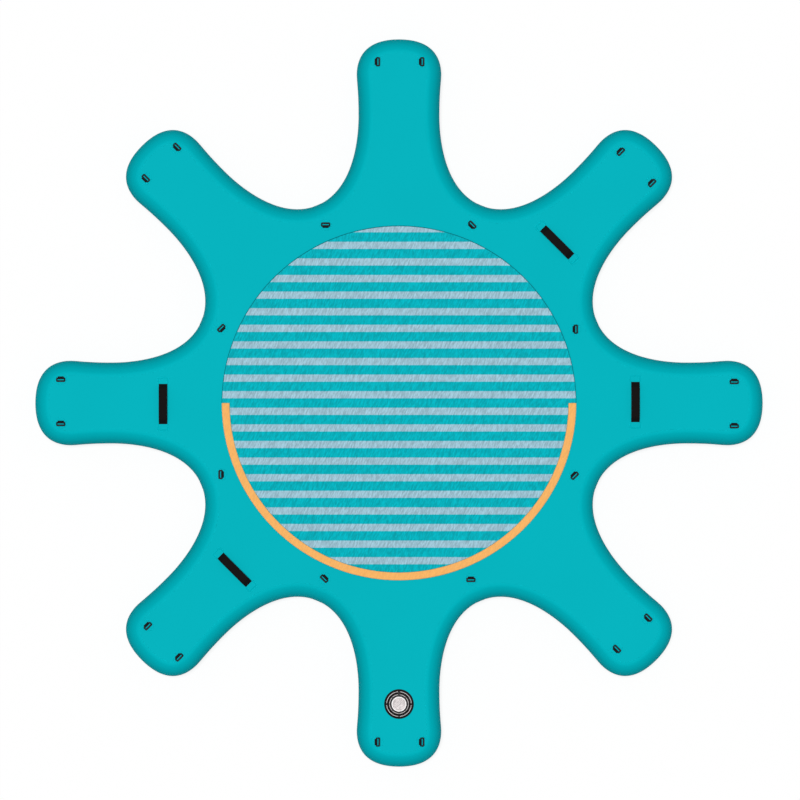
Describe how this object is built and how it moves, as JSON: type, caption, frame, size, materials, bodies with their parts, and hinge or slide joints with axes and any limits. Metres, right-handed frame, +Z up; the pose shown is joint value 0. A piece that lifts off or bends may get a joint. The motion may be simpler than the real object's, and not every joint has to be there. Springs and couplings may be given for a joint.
{
  "type": "inflatable yoga platform",
  "caption": "Star-shaped inflatable platform with round-ended arms for yoga on water, with a round foam deck pad, tie-down rings, carry handles and an air valve.",
  "frame": {"origin": "centre of the platform on the surface that it lies on", "axes": "+Z up out of the deck, +Y along arm 1, the arm opposite the one that holds the valve"},
  "size_m": [2.9, 2.9, 0.1736],
  "materials": {
    "hull_teal": "smooth coated fabric, satin",
    "side_teal": "smooth coated fabric, satin",
    "inner_fabric": "woven base cloth and yarn",
    "pad_teal": "brushed foam, printed",
    "pad_orange": "brushed foam",
    "black_webbing": "woven webbing",
    "black_neoprene": "padded neoprene, bound edges",
    "black_ring": "smooth",
    "black_plastic": "moulded",
    "black_rubber": "moulded",
    "cap_grey": "moulded",
    "spring_steel": "drawn wire"
  },
  "bodies": {
    "platform": {"top_panel": "hull_teal", "bottom_panel": "side_teal", "drop_stitch_core": "inner_fabric", "deck_pad": "pad_teal", "pad_accent_band": "pad_orange", "valve_surround": "black_rubber", "valve_body": "black_plastic", "valve_gasket": "black_rubber", "valve_nut": "black_plastic", "valve_spring": "spring_steel", "leash_anchor": "black_rubber", "side_strip_1": "side_teal", "side_strip_2": "side_teal", "side_strip_3": "side_teal", "side_strip_4": "side_teal", "side_strip_5": "side_teal", "side_strip_6": "side_teal", "side_strip_7": "side_teal", "side_strip_8": "side_teal", "handle_strap_2": "black_webbing", "handle_strap_3": "black_webbing", "handle_strap_6": "black_webbing", "handle_strap_7": "black_webbing"},
    "cap_leash": {"cap_leash": "black_rubber"},
    "valve_cap": {"valve_cap": "cap_grey", "cap_seal": "black_rubber"},
    "valve_poppet": {"valve_diaphragm": "black_rubber"},
    "valve_plunger": {"valve_plunger": "cap_grey"},
    "handle_2": {"handle_grip_2": "black_neoprene"},
    "handle_3": {"handle_grip_3": "black_neoprene"},
    "handle_6": {"handle_grip_6": "black_neoprene"},
    "handle_7": {"handle_grip_7": "black_neoprene"},
    "d_ring_tip_1a": {"d_ring_tip_1a": "black_ring"},
    "d_ring_tip_1b": {"d_ring_tip_1b": "black_ring"},
    "d_ring_tip_2a": {"d_ring_tip_2a": "black_ring"},
    "d_ring_tip_2b": {"d_ring_tip_2b": "black_ring"},
    "d_ring_tip_3a": {"d_ring_tip_3a": "black_ring"},
    "d_ring_tip_3b": {"d_ring_tip_3b": "black_ring"},
    "d_ring_tip_4a": {"d_ring_tip_4a": "black_ring"},
    "d_ring_tip_4b": {"d_ring_tip_4b": "black_ring"},
    "d_ring_tip_5a": {"d_ring_tip_5a": "black_ring"},
    "d_ring_tip_5b": {"d_ring_tip_5b": "black_ring"},
    "d_ring_tip_6a": {"d_ring_tip_6a": "black_ring"},
    "d_ring_tip_6b": {"d_ring_tip_6b": "black_ring"},
    "d_ring_tip_7a": {"d_ring_tip_7a": "black_ring"},
    "d_ring_tip_7b": {"d_ring_tip_7b": "black_ring"},
    "d_ring_tip_8a": {"d_ring_tip_8a": "black_ring"},
    "d_ring_tip_8b": {"d_ring_tip_8b": "black_ring"},
    "d_ring_inner_1": {"d_ring_inner_1": "black_ring"},
    "d_ring_inner_2": {"d_ring_inner_2": "black_ring"},
    "d_ring_inner_3": {"d_ring_inner_3": "black_ring"},
    "d_ring_inner_4": {"d_ring_inner_4": "black_ring"},
    "d_ring_inner_5": {"d_ring_inner_5": "black_ring"},
    "d_ring_inner_6": {"d_ring_inner_6": "black_ring"},
    "d_ring_inner_7": {"d_ring_inner_7": "black_ring"},
    "d_ring_inner_8": {"d_ring_inner_8": "black_ring"}
  },
  "joints": [
    {"name": "cap_swing", "type": "hinge", "parent": "platform", "child": "cap_leash", "pos_m": [0, -1.159, 0.1566], "axis": [-1, 0, 0], "range_deg": [0, 150]},
    {"name": "cap_turn", "type": "hinge", "parent": "cap_leash", "child": "valve_cap", "pos_m": [0, -1.197, 0.15], "axis": [0, 0, 1], "range_deg": [0, 90]},
    {"name": "poppet_press", "type": "slide", "parent": "platform", "child": "valve_poppet", "axis": [0, 0, -1], "range_m": [0, 0.006], "stiffness_N_per_m": 400, "springref_m": -0.004, "deforming": ["valve_spring"]},
    {"name": "plunger_turn", "type": "hinge", "parent": "valve_poppet", "child": "valve_plunger", "pos_m": [0, -1.197, 0.13], "axis": [0, 0, 1], "range_deg": [0, 90]},
    {"name": "handle_2_swing", "type": "hinge", "parent": "platform", "child": "handle_2", "pos_m": [0.62862, 0.63852, 0.152], "axis": [0.7071, -0.7071, 0], "range_deg": [-40, 40], "stiffness_Nm_per_rad": 0.3, "deforming": ["handle_strap_2"]},
    {"name": "handle_3_swing", "type": "hinge", "parent": "platform", "child": "handle_3", "pos_m": [0.94, 0.004, 0.152], "axis": [0, -1, 0], "range_deg": [-40, 40], "stiffness_Nm_per_rad": 0.3, "deforming": ["handle_strap_3"]},
    {"name": "handle_6_swing", "type": "hinge", "parent": "platform", "child": "handle_6", "pos_m": [-0.65337, -0.66327, 0.152], "axis": [-0.7071, 0.7071, 0], "range_deg": [-40, 40], "stiffness_Nm_per_rad": 0.3, "deforming": ["handle_strap_6"]},
    {"name": "handle_7_swing", "type": "hinge", "parent": "platform", "child": "handle_7", "pos_m": [-0.938, -0.004, 0.152], "axis": [0, 1, 0], "range_deg": [-40, 40], "stiffness_Nm_per_rad": 0.3, "deforming": ["handle_strap_7"]},
    {"name": "d_ring_tip_1a_swing", "type": "hinge", "parent": "platform", "child": "d_ring_tip_1a", "pos_m": [-0.09025, 1.357, 0.1547], "axis": [0, -1, 0], "range_deg": [0, 180]},
    {"name": "d_ring_tip_1b_swing", "type": "hinge", "parent": "platform", "child": "d_ring_tip_1b", "pos_m": [0.08575, 1.357, 0.1547], "axis": [0, -1, 0], "range_deg": [0, 180]},
    {"name": "d_ring_tip_2a_swing", "type": "hinge", "parent": "platform", "child": "d_ring_tip_2a", "pos_m": [0.87734, 1.00356, 0.1547], "axis": [-0.7071, -0.7071, 0], "range_deg": [0, 180]},
    {"name": "d_ring_tip_2b_swing", "type": "hinge", "parent": "platform", "child": "d_ring_tip_2b", "pos_m": [1.00179, 0.87911, 0.1547], "axis": [-0.7071, -0.7071, 0], "range_deg": [0, 180]},
    {"name": "d_ring_tip_3a_swing", "type": "hinge", "parent": "platform", "child": "d_ring_tip_3a", "pos_m": [1.333, 0.09025, 0.1547], "axis": [-1, 0, 0], "range_deg": [0, 180]},
    {"name": "d_ring_tip_3b_swing", "type": "hinge", "parent": "platform", "child": "d_ring_tip_3b", "pos_m": [1.333, -0.08575, 0.1547], "axis": [-1, 0, 0], "range_deg": [0, 180]},
    {"name": "d_ring_tip_4a_swing", "type": "hinge", "parent": "platform", "child": "d_ring_tip_4a", "pos_m": [0.98624, -0.8579, 0.1547], "axis": [0.7071, -0.7071, 0], "range_deg": [0, 180]},
    {"name": "d_ring_tip_4b_swing", "type": "hinge", "parent": "platform", "child": "d_ring_tip_4b", "pos_m": [0.86179, -0.98235, 0.1547], "axis": [0.7071, -0.7071, 0], "range_deg": [0, 180]},
    {"name": "d_ring_tip_5a_swing", "type": "hinge", "parent": "platform", "child": "d_ring_tip_5a", "pos_m": [0.08575, -1.348, 0.1547], "axis": [0, -1, 0], "range_deg": [0, 180]},
    {"name": "d_ring_tip_5b_swing", "type": "hinge", "parent": "platform", "child": "d_ring_tip_5b", "pos_m": [-0.09025, -1.348, 0.1547], "axis": [0, -1, 0], "range_deg": [0, 180]},
    {"name": "d_ring_tip_6a_swing", "type": "hinge", "parent": "platform", "child": "d_ring_tip_6a", "pos_m": [-0.8784, -1.00674, 0.1547], "axis": [-0.7071, -0.7071, 0], "range_deg": [0, 180]},
    {"name": "d_ring_tip_6b_swing", "type": "hinge", "parent": "platform", "child": "d_ring_tip_6b", "pos_m": [-1.00285, -0.88229, 0.1547], "axis": [-0.7071, -0.7071, 0], "range_deg": [0, 180]},
    {"name": "d_ring_tip_7a_swing", "type": "hinge", "parent": "platform", "child": "d_ring_tip_7a", "pos_m": [-1.345, -0.07675, 0.1547], "axis": [-1, 0, 0], "range_deg": [0, 180]},
    {"name": "d_ring_tip_7b_swing", "type": "hinge", "parent": "platform", "child": "d_ring_tip_7b", "pos_m": [-1.345, 0.09925, 0.1547], "axis": [-1, 0, 0], "range_deg": [0, 180]},
    {"name": "d_ring_tip_8a_swing", "type": "hinge", "parent": "platform", "child": "d_ring_tip_8a", "pos_m": [-1.01134, 0.88936, 0.1547], "axis": [0.7071, -0.7071, 0], "range_deg": [0, 180]},
    {"name": "d_ring_tip_8b_swing", "type": "hinge", "parent": "platform", "child": "d_ring_tip_8b", "pos_m": [-0.88689, 1.01381, 0.1547], "axis": [0.7071, -0.7071, 0], "range_deg": [0, 180]},
    {"name": "d_ring_inner_1_swing", "type": "hinge", "parent": "platform", "child": "d_ring_inner_1", "pos_m": [-0.29183, 0.7029, 0.1547], "axis": [1, 0, 0], "range_deg": [0, 180]},
    {"name": "d_ring_inner_2_swing", "type": "hinge", "parent": "platform", "child": "d_ring_inner_2", "pos_m": [0.28659, 0.70399, 0.1547], "axis": [0.7071, -0.7071, 0], "range_deg": [0, 180]},
    {"name": "d_ring_inner_3_swing", "type": "hinge", "parent": "platform", "child": "d_ring_inner_3", "pos_m": [0.69675, 0.29361, 0.1547], "axis": [0, -1, 0], "range_deg": [0, 180]},
    {"name": "d_ring_inner_4_swing", "type": "hinge", "parent": "platform", "child": "d_ring_inner_4", "pos_m": [0.69398, -0.28461, 0.1547], "axis": [-0.7071, -0.7071, 0], "range_deg": [0, 180]},
    {"name": "d_ring_inner_5_swing", "type": "hinge", "parent": "platform", "child": "d_ring_inner_5", "pos_m": [0.286, -0.69666, 0.1547], "axis": [-1, 0, 0], "range_deg": [0, 180]},
    {"name": "d_ring_inner_6_swing", "type": "hinge", "parent": "platform", "child": "d_ring_inner_6", "pos_m": [-0.29315, -0.69369, 0.1547], "axis": [-0.7071, 0.7071, 0], "range_deg": [0, 180]},
    {"name": "d_ring_inner_7_swing", "type": "hinge", "parent": "platform", "child": "d_ring_inner_7", "pos_m": [-0.70281, -0.28421, 0.1547], "axis": [0, 1, 0], "range_deg": [0, 180]},
    {"name": "d_ring_inner_8_swing", "type": "hinge", "parent": "platform", "child": "d_ring_inner_8", "pos_m": [-0.70223, 0.29344, 0.1547], "axis": [0.7071, 0.7071, 0], "range_deg": [0, 180]}
  ]
}
